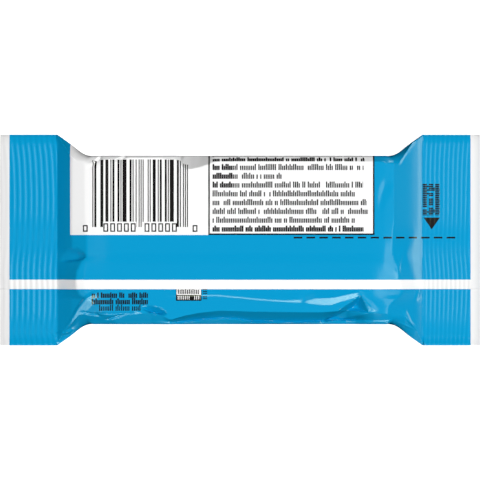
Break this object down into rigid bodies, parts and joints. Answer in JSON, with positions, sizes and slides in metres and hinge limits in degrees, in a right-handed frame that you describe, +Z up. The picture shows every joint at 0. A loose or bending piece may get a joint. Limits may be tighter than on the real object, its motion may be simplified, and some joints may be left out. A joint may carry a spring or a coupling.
{
  "type": "wrapped crispy rice treat",
  "caption": "Single crispy rice snack bar sealed in a printed film flow wrap, lying on its front with the folded fin seam up and a flat ribbed seal at each end.",
  "frame": {"origin": "middle of the flat front face that the pack rests on", "axes": "+X along the pack towards the end with the notch mark, +Y across the pack away from the fin seam's free edge, +Z up through the seam side"},
  "size_m": [0.158, 0.0694, 0.0194],
  "materials": {
    "printed_film": "glossy printed polypropylene film, blue and white"
  },
  "bodies": {
    "root": {"wrapped_bar": "printed_film"}
  },
  "joints": []
}
